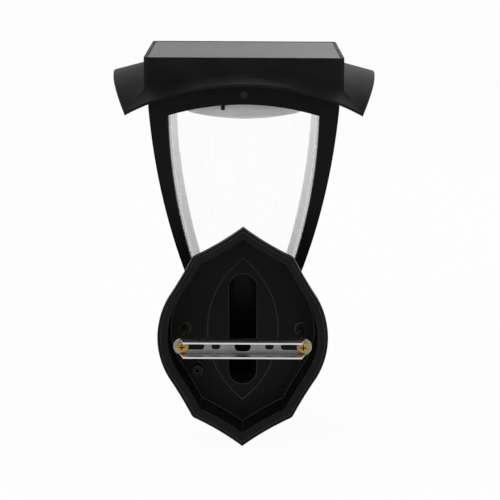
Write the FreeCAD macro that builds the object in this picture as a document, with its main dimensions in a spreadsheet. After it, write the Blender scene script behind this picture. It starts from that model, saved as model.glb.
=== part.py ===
import FreeCAD, Part
import math
import operator
import os
from types import SimpleNamespace

import Sketcher

# Solar fence light: a square lantern under a solar roof, carried by a hollow arm on a shield-shaped wall plate.
# Millimetres, +Z up. The origin is the middle of the wall plate, in the plane of the wall.
# The wall is at -Y and the lantern stands out along +Y. A "drop" is a depth below the top of the roof's rim.

V = FreeCAD.Vector
doc = FreeCAD.newDocument("FenceLight")
sheet = doc.addObject("Spreadsheet::Sheet", "Sizes")

SIZES = [
    # where the lantern hangs on the plate
    ("axis_reach", 108.5, "wall plane to the lantern's axis"),
    ("rim_height", 206.8, "plate's centre to the top of the roof's rim"),
    # roof: a square solar box on a flared skirt
    ("roof_half", 75, "half the width of the solar box"),
    ("roof_wall", 2.5, "wall of the solar box"),
    ("roof_skin", 2.6, "skirt's thickness where it meets the box"),
    ("roof_edge", 2.5, "chamfer on the box's upright edges"),
    ("joint_drop_mid", 9.8, "box meets skirt, middle of a side"),
    ("joint_drop_end", 24, "box meets skirt, at the corners"),
    ("eave_half", 88.5, "skirt's corners from the axis"),
    ("eave_bow", 102, "skirt's edge from the axis, middle of a side"),
    ("eave_drop_mid", 18.9, "skirt's lower edge, middle of a side"),
    ("eave_drop_end", 42, "skirt's lower edge, at the corners"),
    ("eave_lip", 2, "height of the skirt's edge"),
    ("deck_drop", 5, "top of the deck that carries the solar panel"),
    ("deck_thick", 2, "thickness of that deck"),
    # solar panel
    ("panel_gap", 0.3, "panel to box wall, and glass below the rim"),
    ("cover_glass", 2, "panel's clear cover"),
    ("cell_thick", 0.3, "cells under the cover"),
    ("cell_gap", 1.2, "gap between two cells"),
    ("panel_margin", 3, "cells to the panel's edge"),
    ("panel_board", 1.6, "board behind the cells"),
    ("seal_width", 8, "width of the sealing bead"),
    # lantern frame: four tapered posts between two rails
    ("frame_top_drop", 14, "top of the frame, inside the roof"),
    ("frame_top_half", 71.8, "half width at the top"),
    ("frame_curve_drop", 38, "where the posts begin to draw in"),
    ("frame_foot_drop", 196, "foot of the frame"),
    ("frame_foot_half", 35.6, "half width at the foot"),
    ("frame_curve_rad", 556, "bow of the posts' outer line"),
    ("window_top_drop", 44, "window's upper corners"),
    ("window_top_half", 57, "half width of the window at the top"),
    ("window_arch", 8.5, "rise of the window's arched head"),
    ("window_foot_drop", 184, "window's sill"),
    ("window_foot_half", 32, "half width of the window at the sill"),
    ("window_curve_rad", 440, "bow of the window's sides"),
    ("neck_half", 64.9, "half width inside the frame's top"),
    ("well_half", 29, "half width of the opening in the frame's foot"),
    # bowed clear panes, seated in the corners of the posts
    ("pane_thick", 2.2, "thickness of a pane"),
    ("pane_lap", 0.6, "how far a pane laps behind its window"),
    ("pane_gap", 0.15, "pane to frame, and pane to pane"),
    ("pane_top_drop", 34.5, "upper edge of the panes"),
    ("pane_foot_drop", 188, "lower edge of the panes"),
    ("clip_reach", 5, "length of a corner clip's legs"),
    ("clip_thick", 0.8, "metal of a corner clip"),
    ("clip_height", 7, "height of a corner clip"),
    # tray that closes the roof and carries the lamp parts
    ("tray_half", 64.4, "half the width of the tray"),
    ("tray_wall", 2, "walls and floor of the tray"),
    ("tray_lift", 2.1, "tray floor above the panes"),
    ("tray_top_drop", 20, "top of the tray's walls"),
    ("lug_half", 4.2, "half width of the tray's lugs for the rail screws"),
    ("lug_depth", 4, "depth of those lugs"),
    ("post_place", 56, "roof posts from the axis, both ways"),
    ("post_rad", 4, "radius of a roof post"),
    ("tray_hole_gap", 0.3, "diffuser to its hole in the tray"),
    # diffuser, reflector and lamp board
    ("dome_rad", 50.6, "radius of the diffuser's side"),
    ("dome_drop", 53.4, "lowest point of the diffuser"),
    ("dome_ball", 184, "radius of its round bottom"),
    ("dome_round", 8, "rounding between its side and its bottom"),
    ("dome_wall", 1.8, "thickness of the diffuser"),
    ("dome_lip", 2, "width of the diffuser's flange"),
    ("dome_lip_thick", 1.5, "thickness of that flange"),
    ("reflector_half", 62, "half the width of the reflector"),
    ("reflector_thick", 1.3, "thickness of the reflector"),
    ("reflector_screw", 50, "reflector screws from the axis, both ways"),
    ("lamp_board_rad", 26, "radius of the lamp board"),
    ("board_thick", 1.6, "thickness of both circuit boards"),
    ("lamp_size", 3.5, "width of a light-emitting chip"),
    ("lamp_height", 0.9, "height of a light-emitting chip"),
    ("lamp_ring", 17, "radius of the ring of chips"),
    ("lamp_count", 6, "number of chips"),
    # control board and battery
    ("control_length", 60, "control board along Y"),
    ("control_width", 42, "control board along X"),
    ("control_offset", -30, "middle of the control board from the axis"),
    ("standoff_height", 4, "board above the reflector"),
    ("standoff_rad", 2.8, "radius of a standoff"),
    ("standoff_inset", 4, "standoff from the board's edges"),
    ("cell_rad", 9.2, "radius of the battery cell"),
    ("cell_length", 65.3, "length of the battery cell"),
    ("battery_offset", 26, "battery from the axis"),
    ("holder_wall", 1.4, "walls of the battery holder"),
    ("holder_gap", 0.3, "cell to holder"),
    ("contact_room", 3.2, "room for a contact at each end of the cell"),
    ("contact_thick", 0.5, "metal of a contact"),
    ("contact_rad", 3, "radius of a contact's button"),
    # power switch
    ("switch_x", -16, "knob from the axis, across"),
    ("switch_y", -52.6, "knob from the axis, towards the wall"),
    ("switch_travel", 4, "travel of the knob"),
    ("switch_depth", 4.2, "switch case along Y"),
    ("switch_height", 9, "height of the switch case"),
    ("switch_wall", 2, "ends and sole of the switch case"),
    ("switch_gap", 0.3, "reflector to the switch case and to the lugs"),
    ("knob_width", 3, "knob along X"),
    ("knob_depth", 1.2, "knob along Y"),
    ("knob_reach", 9.4, "knob below the tray"),
    ("knob_head", 5.2, "width of the knob's head inside the case"),
    ("knob_head_height", 1.5, "height of that head"),
    ("knob_gap", 0.35, "knob to its case and slot"),
    # lantern base
    ("base_half", 37.5, "half width of the base's slab"),
    ("base_slab", 4, "height of that slab"),
    ("base_round", 1.5, "rounding of the slab's edges"),
    ("base_step_half", 27.5, "half width where the base draws in"),
    ("base_foot_half", 21.5, "half width of the base's underside"),
    ("base_foot_drop", 210, "underside of the base, on the arm"),
    ("base_fit", 0.3, "base's plug to the frame"),
    ("base_screw", 32.3, "base screws from the axis, both ways"),
    # hollow arm
    ("arm_root_half", 24.5, "half width of the arm at the plate"),
    ("arm_root_tall", 52.5, "half height of the arm at the plate"),
    ("arm_neck_out", 17, "arm's neck, out from the plate"),
    ("arm_neck_drop", 13, "how far the neck's middle lies below the plate's"),
    ("arm_neck_half", 18, "half width of the neck"),
    ("arm_neck_tall", 34, "half height of the neck"),
    ("arm_bend_in", 34, "start of the arm's bend, in from the lantern's axis"),
    ("arm_bend_drop", 24, "how far the bend starts below the arm's end"),
    ("arm_bend_half", 16, "half width where the bend starts"),
    ("arm_bend_tall", 18, "half height where the bend starts"),
    ("arm_bend_tilt", 8, "tilt of the arm there, degrees"),
    ("arm_elbow_in", 9, "middle of the bend, in from the lantern's axis"),
    ("arm_elbow_drop", 21, "middle of the bend, below the arm's end"),
    ("arm_elbow_rad", 19, "radius of the arm at the middle of the bend"),
    ("arm_end_rad", 20, "radius of the arm's round end"),
    ("bore_half", 10.6, "half width of the arm's hollow at the plate"),
    ("bore_tall", 43.15, "half height of the arm's hollow at the plate"),
    ("bore_wall", 9, "arm above and below its hollow"),
    ("bore_side", 7, "arm to each side of its hollow"),
    ("flange_half", 26.8, "half width of the arm's pointed flange"),
    ("flange_tall", 55, "half height of that flange"),
    ("flange_thick", 2, "thickness of that flange"),
    ("flange_fit", 0.2, "flange and arm to the plate"),
    ("arm_screw_place", 10, "arm screws from the lantern's axis"),
    ("arm_screw_bite", 14, "depth of the arm screws in the arm"),
    # wall plate: a hollow shield, open to the wall
    ("plate_half", 64, "half width of the plate"),
    ("plate_tall", 84, "half height of the plate"),
    ("plate_side_rad", 59.7, "round of the plate's sides"),
    ("plate_side_x", 53.3, "end of the round side, across"),
    ("plate_side_z", 34.1, "end of the round side, up"),
    ("plate_flank_rad", 302, "hollow line from side to shoulder"),
    ("shoulder_low_x", 38.3, "shoulder's lower end, across"),
    ("shoulder_low_z", 60.05, "shoulder's lower end, up"),
    ("shoulder_top_x", 36.0, "shoulder's upper end, across"),
    ("shoulder_top_z", 62.1, "shoulder's upper end, up"),
    ("shoulder_rad", 4.8, "round of the shoulder"),
    ("plate_tip_rad", 209, "hollow line from shoulder to tip"),
    ("skirt_depth", 6, "depth of the plate's outer step"),
    ("skirt_step", 4.4, "width of that step"),
    ("plate_depth", 31.5, "depth of the plate"),
    ("plate_floor", 2, "thickness of the plate's face"),
    ("plate_draft", 4, "draft of the plate's walls, degrees"),
    ("face_round", 2, "rounding of the plate's face"),
    ("rim_width", 7.1, "plate's edge to its hollow"),
    ("boss_half", 28.6, "half width of the raised field under the arm"),
    ("boss_tall", 57, "half height of that field"),
    ("boss_rise", 2.5, "height of that field"),
    ("gasket_edge", 2.5, "plate's edge to the gasket"),
    ("gasket_depth", 3, "thickness of the gasket"),
    ("gasket_fit", 0.15, "gasket to its groove"),
    ("spare_boss_x", -34.3, "spare screw boss, across"),
    ("spare_boss_z", -30.2, "spare screw boss, up"),
    ("spare_boss_rad", 4, "radius of that boss"),
    ("spare_boss_bore", 1.5, "radius of its hole"),
    ("spare_boss_length", 12, "length of that boss"),
    # mounting bar and its hardware
    ("bar_stand", 28.5, "wall plane to the bar's web, as it is held"),
    ("bar_z", 0.8, "height of the bar above the plate's centre"),
    ("bar_length", 101.6, "length of the bar's web"),
    ("bar_height", 12, "height of the bar"),
    ("bar_flange", 14, "depth of the bar's flanges"),
    ("bar_flange_length", 93, "length of the flanges at the web"),
    ("bar_flange_slant", 3.2, "slant of the flanges' ends"),
    ("bar_metal", 1.2, "thickness of the bar's metal"),
    ("screw_place", 44.45, "long screws from the middle"),
    ("wall_slot_place", 19.6, "wall screw slots from the middle"),
    ("wall_slot_length", 6.5, "length of a wall screw slot"),
    ("wall_slot_rad", 2, "half the width of that slot"),
    ("end_slot_start", 28, "inner end of an end slot"),
    ("end_slot_end", 47.6, "outer end of an end slot"),
    ("end_slot_rad", 2.35, "half the width of an end slot"),
    ("middle_slot_length", 12, "length of the middle slot"),
    ("middle_slot_rad", 3.5, "half the width of the middle slot"),
    ("screw_rad", 2, "radius of the long screws"),
    ("screw_fit", 0.35, "long screw to the bar and the plate"),
    ("thread_fit", 0.08, "long screw to a nut"),
    ("screw_head_rad", 3.6, "radius of the long screws' heads"),
    ("screw_head_height", 2.6, "height of those heads"),
    ("washer_rad", 4.7, "radius of a bar washer"),
    ("washer_thick", 1, "thickness of a washer"),
    ("nut_flats", 7, "width of a nut across its flats"),
    ("nut_height", 3.2, "height of a nut"),
    ("cap_flats", 9, "width of a cap nut across its flats"),
    ("cap_height", 5, "height of a cap nut's hexagon"),
    ("cap_dome", 4.2, "radius of a cap nut's round end"),
    ("cap_washer_rad", 6, "radius of the sealing washers"),
    ("cap_washer_thick", 1.2, "thickness of the sealing washers"),
    # small screws
    ("small_rad", 1.4, "radius of the small screws"),
    ("small_head", 2.6, "radius of their heads"),
    ("small_head_height", 1.8, "height of their heads"),
    ("small_fit", 0.2, "small screw to a clearance hole"),
    ("tray_screw_length", 12, "length of a tray screw"),
    ("reflector_screw_length", 5, "length of a reflector screw"),
    ("board_screw_length", 5, "length of a board screw"),
    ("rail_screw_drop", 28, "screws in the frame's rail"),
    ("rail_screw_length", 10, "length of a rail screw"),
    ("rail_sink", 1.6, "depth of a rail screw's recess"),
    ("base_screw_length", 9, "length of a base screw"),
    ("arm_screw_rad", 2, "radius of the arm screws"),
    ("arm_head_rad", 3.8, "radius of the arm screws' heads"),
    ("arm_head_height", 2.4, "height of those heads"),
]

for row, (alias, value, note) in enumerate(SIZES, start=1):
    sheet.set(f"A{row}", note)
    sheet.set(f"B{row}", str(value))
    sheet.setAlias(f"B{row}", alias)
doc.recompute()

OPERATIONS = {"+": operator.add, "-": operator.sub, "*": operator.mul, "/": operator.truediv}


class Size:
    """A length, with the formula that ties it to the sheet."""

    def __init__(self, formula, value):
        self.formula = formula
        self.value = float(value)

    def join(self, sign, other, swap=False):
        other = other if isinstance(other, Size) else Size(f"({other})", other)
        first, second = (other, self) if swap else (self, other)
        value = OPERATIONS[sign](first.value, second.value)
        return Size(f"({first.formula} {sign} {second.formula})", value)

    def __add__(self, other):
        return self.join("+", other)

    def __radd__(self, other):
        return self.join("+", other, swap=True)

    def __sub__(self, other):
        return self.join("-", other)

    def __rsub__(self, other):
        return self.join("-", other, swap=True)

    def __mul__(self, other):
        return self.join("*", other)

    def __rmul__(self, other):
        return self.join("*", other, swap=True)

    def __truediv__(self, other):
        return self.join("/", other)

    def __neg__(self):
        return self.join("-", 0, swap=True)

    def __float__(self):
        return self.value


def root(size):
    """The square root of a size's number."""
    return Size(f"sqrt({size.formula})", math.sqrt(size.value))


s = SimpleNamespace(**{alias: Size(f"Sizes.{alias}", sheet.get(alias)) for alias, value, note in SIZES})

# Fixed directions
UP = FreeCAD.Rotation()
ALONG_Y = FreeCAD.Rotation(V(1, 0, 0), -90)
AGAINST_Y = FreeCAD.Rotation(V(1, 0, 0), 90)
DOWN = FreeCAD.Rotation(V(1, 0, 0), 180)
PLANES = {
    "XY": FreeCAD.Rotation(),
    "XZ": FreeCAD.Rotation(V(1, 0, 0), 90),
    "YZ": FreeCAD.Rotation(V(1, 1, 1), 120),
}


def bind(thing, prop, size):
    """Ties a property to the sheet."""
    if isinstance(size, Size):
        thing.setExpression(prop, size.formula)
    elif size:
        thing.setExpression(prop, str(size))


def place(thing, x=0, y=0, z=0, rotation=UP):
    """Puts a thing at a point that is tied to the sheet."""
    thing.Placement = FreeCAD.Placement(V(float(x), float(y), float(z)), rotation)
    bind(thing, "Placement.Base.x", x)
    bind(thing, "Placement.Base.y", y)
    bind(thing, "Placement.Base.z", z)
    return thing


def at_drop(drop):
    """Height of a depth below the roof's rim."""
    return s.rim_height - drop


def block(name, x, y, z):
    """A box between two bounds on each axis."""
    thing = doc.addObject("Part::Box", name)
    for prop, (low, high) in zip(("Length", "Width", "Height"), (x, y, z)):
        bind(thing, prop, high - low)
    return place(thing, x[0], y[0], z[0])


def square_block(name, half, z):
    """A box centred on the Z axis."""
    return block(name, (-half, half), (-half, half), z)


def rod(name, radius, length, x=0, y=0, z=0, rotation=UP):
    """A cylinder that starts at a point."""
    thing = doc.addObject("Part::Cylinder", name)
    bind(thing, "Radius", radius)
    bind(thing, "Height", length)
    return place(thing, x, y, z, rotation)


def ball(name, radius, x=0, y=0, z=0):
    thing = doc.addObject("Part::Sphere", name)
    bind(thing, "Radius", radius)
    return place(thing, x, y, z)


def hexagon(name, flats, length, x, y, z, rotation):
    """A six-sided prism, sized across its flats."""
    thing = doc.addObject("Part::Prism", name)
    thing.Polygon = 6
    bind(thing, "Circumradius", flats / math.sqrt(3))
    bind(thing, "Height", length)
    return place(thing, x, y, z, rotation)


def frustum(name, low_half, top_half, low, top):
    """A square tapered block, centred on the Z axis."""
    thing = doc.addObject("Part::Wedge", name)
    for prop, size in {
        "Xmin": -low_half,
        "Zmin": -low_half,
        "Xmax": low_half,
        "Zmax": low_half,
        "X2min": -top_half,
        "Z2min": -top_half,
        "X2max": top_half,
        "Z2max": top_half,
        "Ymax": top - low,
    }.items():
        bind(thing, prop, size)
    thing.Ymin = 0
    return place(thing, 0, 0, low, AGAINST_Y)


def fuse(name, *parts):
    thing = doc.addObject("Part::MultiFuse", name)
    thing.Shapes = list(parts)
    return thing


def common(name, *parts):
    thing = doc.addObject("Part::MultiCommon", name)
    thing.Shapes = list(parts)
    return thing


def cut(name, base, *tools):
    """The base less its tools."""
    tool = tools[0] if len(tools) == 1 else fuse(name + "Tools", *tools)
    thing = doc.addObject("Part::Cut", name)
    thing.Base = base
    thing.Tool = tool
    return thing


def group(name, parts):
    """Several like pieces in one node, each its own solid."""
    thing = doc.addObject("Part::Compound", name)
    thing.Links = list(parts)
    return thing


def shape_feature(name, shape):
    """A piece whose shape is worked out here from the sheet's sizes."""
    thing = doc.addObject("Part::Feature", name)
    thing.Shape = shape
    return thing


def arc_geometry(start, end, radius, turn):
    """An arc between two points; turn is 1 where it bends left and -1 where it bends right."""
    chord = end - start
    lift = math.sqrt(radius**2 - chord.Length**2 / 4)
    left = V(-chord.y, chord.x, 0).normalize()
    centre = (start + end) * 0.5 + left * (lift * turn)
    first, last = (start, end) if turn > 0 else (end, start)
    angles = [math.atan2(p.y - centre.y, p.x - centre.x) for p in (first, last)]
    if angles[1] < angles[0]:
        angles[1] += 2 * math.pi
    return Part.ArcOfCircle(Part.Circle(centre, V(0, 0, 1), radius), *angles)


def draw(sketch, corners, arcs=()):
    """Draws a closed outline whose corners, and the radii of its arcs, are tied to the sheet.

    arcs gives (radius, turn) for the edge that starts at a corner, by the corner's number.
    """
    arcs = dict(arcs)
    points = [V(float(x), float(y), 0) for x, y in corners]
    ends = []
    for i, start in enumerate(points):
        end = points[(i + 1) % len(points)]
        if i in arcs:
            radius, turn = arcs[i]
            edge = sketch.addGeometry(arc_geometry(start, end, float(radius), turn), False)
            limit = sketch.addConstraint(Sketcher.Constraint("Radius", edge, float(radius)))
            bind(sketch, f"Constraints[{limit}]", radius)
            ends.append((edge, 1, 2) if turn > 0 else (edge, 2, 1))
        else:
            edge = sketch.addGeometry(Part.LineSegment(start, end), False)
            ends.append((edge, 1, 2))
    for i, (x, y) in enumerate(corners):
        edge, first, last = ends[i]
        before, before_first, before_last = ends[i - 1]
        sketch.addConstraint(Sketcher.Constraint("Coincident", before, before_last, edge, first))
        for kind, size in (("DistanceX", x), ("DistanceY", y)):
            limit = sketch.addConstraint(Sketcher.Constraint(kind, -1, 1, edge, first, float(size)))
            bind(sketch, f"Constraints[{limit}]", size)
    return sketch


def outline(name, plane, corners, arcs=(), offset=0):
    """A free sketch on one of the main planes."""
    sketch = doc.addObject("Sketcher::SketchObject", name)
    shift = {"XY": (0, 0, offset), "XZ": (0, offset, 0), "YZ": (offset, 0, 0)}[plane]
    place(sketch, *shift, PLANES[plane])
    return draw(sketch, corners, arcs)


def extrude(name, base, direction, length, both_ways=False, taper=None):
    """A solid drawn out of an outline."""
    thing = doc.addObject("Part::Extrusion", name)
    thing.Base = base
    thing.DirMode = "Custom"
    thing.Dir = direction
    thing.Solid = True
    thing.Symmetric = both_ways
    bind(thing, "LengthFwd", length)
    if taper is not None:
        bind(thing, "TaperAngle", taper)
    return thing


def inset(name, base, distance):
    """An outline drawn in by a distance."""
    thing = doc.addObject("Part::Offset2D", name)
    thing.Source = base
    thing.Join = 0
    bind(thing, "Value", -distance)
    return thing


def origin_feature(body, role):
    return next(item for item in body.Origin.OriginFeatures if item.Role == role)


def new_body(name):
    return doc.addObject("PartDesign::Body", name)


def body_sketch(body, name, plane, corners, arcs=()):
    """A sketch on one of a body's own planes."""
    sketch = body.newObject("Sketcher::SketchObject", name)
    sketch.AttachmentSupport = (origin_feature(body, plane + "_Plane"), [""])
    sketch.MapMode = "FlatFace"
    return draw(sketch, corners, arcs)


def revolve(body, name, sketch, axis):
    """A turned solid in a body."""
    thing = body.newObject("PartDesign::Revolution", name)
    thing.Profile = sketch
    thing.ReferenceAxis = (origin_feature(body, axis + "_Axis"), [""])
    thing.Angle = 360
    body.Tip = thing
    return thing


def on_axis(thing, turn=0):
    """Moves a lantern piece, modelled about the Z axis, to the lantern's axis, turned by quarter turns."""
    return place(thing, 0, s.axis_reach, 0, FreeCAD.Rotation(V(0, 0, 1), 90 * turn))


def four_corners(place_size):
    return [(place_size * i, place_size * j) for i, j in ((1, 1), (-1, 1), (-1, -1), (1, -1))]


def pan_screw(name, radius, length, head, head_height, x, y, z, rotation):
    """A pan-head screw with a cross recess; its seat is at the point and its shank runs along the rotation."""
    shank = rod(name + "Shank", radius, length)
    cap = rod(name + "Head", head, head_height, 0, 0, -head_height)
    depth = head_height * 0.6
    half_slot = head * 0.14
    reach = head * 0.6
    bars = [
        block(name + "SlotA", (-reach, reach), (-half_slot, half_slot), (-head_height, depth - head_height)),
        block(name + "SlotB", (-half_slot, half_slot), (-reach, reach), (-head_height, depth - head_height)),
    ]
    return place(cut(name, fuse(name + "Blank", shank, cap), *bars), x, y, z, rotation)


def slot_tool(name, middle, length, radius, y, depth, z):
    """A round-ended slot along X, through a plate that faces Y."""
    half_run = length / 2 - radius
    ends = [rod(f"{name}End{i}", radius, depth, middle + half_run * i, y, z, ALONG_Y) for i in (-1, 1)]
    run = block(name + "Run", (middle - half_run, middle + half_run), (y, y + depth), (z - radius, z + radius))
    return fuse(name, run, *ends)


# Roof


def side_arc(half, drop_end, bow, drop_mid):
    """The arched line of one side of the roof, on the side towards the wall."""
    return Part.Arc(
        V(-float(half), -float(half), -float(drop_end)),
        V(0, -float(bow), -float(drop_mid)),
        V(float(half), -float(half), -float(drop_end)),
    ).toShape()


def wall_face(half, arc):
    """The flat wall of the box between its top and an arched line."""
    corners = [V(-half, -half, 0), V(half, -half, 0)]
    low = [arc.valueAt(arc.FirstParameter), arc.valueAt(arc.LastParameter)]
    edges = [
        Part.makeLine(*corners),
        Part.makeLine(corners[0], low[0]),
        Part.makeLine(corners[1], low[1]),
        arc,
    ]
    return Part.Face(Part.Wire(Part.__sortEdges__(edges)))


def roof_shape():
    half, inner = float(s.roof_half), float(s.roof_half - s.roof_wall)
    joint = side_arc(half, s.joint_drop_end, half, s.joint_drop_mid)
    inner_joint = side_arc(inner, s.joint_drop_end + s.roof_skin, inner, s.joint_drop_mid + s.roof_skin)
    lip_top = side_arc(s.eave_half, s.eave_drop_end - s.eave_lip, s.eave_bow, s.eave_drop_mid - s.eave_lip)
    lip_low = side_arc(s.eave_half, s.eave_drop_end, s.eave_bow, s.eave_drop_mid)
    rim = Part.Face(Part.makePolygon([V(-half, -half, 0), V(half, -half, 0), V(inner, -inner, 0),
                                      V(-inner, -inner, 0), V(-half, -half, 0)]))
    side = [
        wall_face(half, joint),
        Part.makeRuledSurface(joint, lip_top),
        Part.makeRuledSurface(lip_top, lip_low),
        Part.makeRuledSurface(lip_low, inner_joint),
        wall_face(inner, inner_joint),
        rim,
    ]
    faces = []
    for turn in range(4):
        for face in side:
            copy = face.copy()
            copy.rotate(V(0, 0, 0), V(0, 0, 1), 90 * turn)
            faces.append(copy)
    shell = Part.Shell(faces)
    shell.sewShape()
    solid = Part.Solid(shell)
    if solid.Volume < 0:
        solid.reverse()
    return solid


def build_roof():
    skirt = place(shape_feature("RoofSkirt", roof_shape()), 0, 0, s.rim_height)
    inner = s.roof_half - s.roof_wall
    deck_low = s.deck_drop + s.deck_thick
    deck = square_block("RoofDeck", inner, (at_drop(deck_low), at_drop(s.deck_drop)))
    floor_top = s.pane_top_drop - s.tray_lift - s.tray_wall
    posts = [
        rod(f"RoofPost{i}", s.post_rad, floor_top - deck_low, x, y, at_drop(floor_top))
        for i, (x, y) in enumerate(four_corners(s.post_place))
    ]
    pilots = [
        rod(f"RoofPilot{i}", s.small_rad, s.tray_screw_length, x, y, at_drop(floor_top))
        for i, (x, y) in enumerate(four_corners(s.post_place))
    ]
    edge = s.roof_edge
    edge_low, edge_top = at_drop(s.joint_drop_end), at_drop(0)
    edges = []
    for turn in range(4):
        corner = outline(f"RoofEdge{turn}", "XY", [
            (s.roof_half, s.roof_half),
            (s.roof_half - edge, s.roof_half),
            (s.roof_half, s.roof_half - edge),
        ], offset=edge_low)
        bevel = extrude(f"RoofEdgeCut{turn}", corner, V(0, 0, 1), edge_top - edge_low)
        bevel.Placement = FreeCAD.Placement(V(), FreeCAD.Rotation(V(0, 0, 1), 90 * turn))
        edges.append(bevel)
    roof = cut("roof_cap", fuse("RoofBlank", skirt, deck, *posts), *pilots, *edges)
    return on_axis(roof)


def build_panel():
    half = s.roof_half - s.roof_wall - s.panel_gap
    glass_low = s.panel_gap + s.cover_glass
    cells_low = glass_low + s.cell_thick
    board_low = cells_low + s.panel_board
    glass = group("panel_glass", [square_block("CoverPlate", half, (at_drop(glass_low), at_drop(s.panel_gap)))])
    board = group("panel_board", [square_block("PanelPlate", half, (at_drop(board_low), at_drop(cells_low)))])
    seal_outer = square_block("SealOuter", half, (at_drop(s.deck_drop), at_drop(board_low)))
    seal_inner = square_block("SealInner", half - s.seal_width, (at_drop(s.deck_drop), at_drop(board_low)))
    seal = cut("panel_seal", seal_outer, seal_inner)
    rows, columns = 6, 2
    run = half * 2 - s.panel_margin * 2
    wide = (run - s.cell_gap * (columns - 1)) / columns
    deep = (run - s.cell_gap * (rows - 1)) / rows
    cells = []
    for column in range(columns):
        for line in range(rows):
            x = s.panel_margin - half + (wide + s.cell_gap) * column
            y = s.panel_margin - half + (deep + s.cell_gap) * line
            cells.append(block(f"Cell{column}{line}", (x, x + wide), (y, y + deep),
                               (at_drop(cells_low), at_drop(glass_low))))
    cells = group("solar_cells", cells)
    return [on_axis(piece) for piece in (glass, board, seal, cells)]


# Lantern


def curved_sides(name, plane):
    """The frame's outer line, seen from one side."""
    return outline(name, plane, [
        (s.frame_top_half, at_drop(s.frame_top_drop)),
        (-s.frame_top_half, at_drop(s.frame_top_drop)),
        (-s.frame_top_half, at_drop(s.frame_curve_drop)),
        (-s.frame_foot_half, at_drop(s.frame_foot_drop)),
        (s.frame_foot_half, at_drop(s.frame_foot_drop)),
        (s.frame_top_half, at_drop(s.frame_curve_drop)),
    ], {2: (s.frame_curve_rad, 1), 4: (s.frame_curve_rad, 1)})


def window_line(name, plane):
    """One window's outline, with an arched head."""
    head = (s.window_top_half * s.window_top_half + s.window_arch * s.window_arch) / (s.window_arch * 2)
    return outline(name, plane, [
        (s.window_top_half, at_drop(s.window_top_drop)),
        (-s.window_top_half, at_drop(s.window_top_drop)),
        (-s.window_foot_half, at_drop(s.window_foot_drop)),
        (s.window_foot_half, at_drop(s.window_foot_drop)),
    ], {0: (head, 1), 1: (s.window_curve_rad, 1), 3: (s.window_curve_rad, 1)})


def rail_screw_places():
    """The two rail screws, one on the wall side and one at the front."""
    face = s.frame_top_half - s.rail_sink
    return [(-face, ALONG_Y), (face, AGAINST_Y)]


def build_frame():
    reach = s.frame_top_half * 2
    body = common(
        "FrameBlock",
        extrude("FrameAcross", curved_sides("FrameLineX", "XZ"), V(0, 1, 0), reach, both_ways=True),
        extrude("FrameAlong", curved_sides("FrameLineY", "YZ"), V(1, 0, 0), reach, both_ways=True),
    )
    windows = [
        extrude("WindowAcross", window_line("WindowLineX", "XZ"), V(0, 1, 0), reach, both_ways=True),
        extrude("WindowAlong", window_line("WindowLineY", "YZ"), V(1, 0, 0), reach, both_ways=True),
    ]
    seat = pane_tube("PaneSeat", -s.pane_gap)
    neck = square_block("NeckOpening", s.neck_half, (at_drop(s.pane_top_drop), at_drop(s.frame_top_drop)))
    well = square_block("FootOpening", s.well_half, (at_drop(s.frame_foot_drop), at_drop(s.pane_foot_drop)))
    rail_z = at_drop(s.rail_screw_drop)
    holes = []
    for i, (y, rotation) in enumerate(rail_screw_places()):
        holes.append(rod(f"RailHole{i}", s.small_rad + s.small_fit, s.rail_screw_length, 0, y, rail_z, rotation))
        outward = AGAINST_Y if rotation is ALONG_Y else ALONG_Y
        holes.append(rod(f"RailSink{i}", s.small_head + s.small_fit, s.rail_screw_length, 0, y, rail_z, outward))
    foot_pilot = s.base_screw_length - s.base_slab + s.small_head_height
    holes += [
        rod(f"FootPilot{i}", s.small_rad, foot_pilot, x, y, at_drop(s.frame_foot_drop))
        for i, (x, y) in enumerate(four_corners(s.base_screw))
    ]
    return on_axis(cut("lantern_frame", body, *windows, seat, neck, well, *holes))


def pane_tube(name, inward):
    """The block inside the panes' outer faces, drawn in by a distance; it bows with the windows' sides."""
    head = s.window_top_half + s.pane_lap - inward
    foot = s.window_foot_half + s.pane_lap - inward
    sides = []
    for plane, way in (("XZ", V(0, 1, 0)), ("YZ", V(1, 0, 0))):
        line = outline(f"{name}Line{plane}", plane, [
            (head, at_drop(s.pane_top_drop)),
            (-head, at_drop(s.pane_top_drop)),
            (-head, at_drop(s.window_top_drop)),
            (-foot, at_drop(s.window_foot_drop)),
            (-foot, at_drop(s.pane_foot_drop)),
            (foot, at_drop(s.pane_foot_drop)),
            (foot, at_drop(s.window_foot_drop)),
            (head, at_drop(s.window_top_drop)),
        ], {2: (s.window_curve_rad, 1), 6: (s.window_curve_rad, 1)})
        sides.append(extrude(f"{name}Side{plane}", line, way, s.frame_top_half * 2, both_ways=True))
    return common(name, *sides)


def build_panes():
    panes = []
    for turn, side in enumerate(("back", "right", "front", "left")):
        tube = cut(f"PaneTube{turn}", pane_tube(f"PaneOuter{turn}", 0), pane_tube(f"PaneInner{turn}", s.pane_thick))
        reach = s.roof_half
        sector = outline(f"PaneSector{turn}", "XY", [
            (0, -s.pane_gap),
            (-reach, -reach - s.pane_gap),
            (reach, -reach - s.pane_gap),
        ], offset=at_drop(s.pane_foot_drop))
        region = extrude(f"PaneRegion{turn}", sector, V(0, 0, 1), s.pane_foot_drop - s.pane_top_drop)
        panes.append(on_axis(common(f"pane_{side}", tube, region), turn))
    return panes


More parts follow.
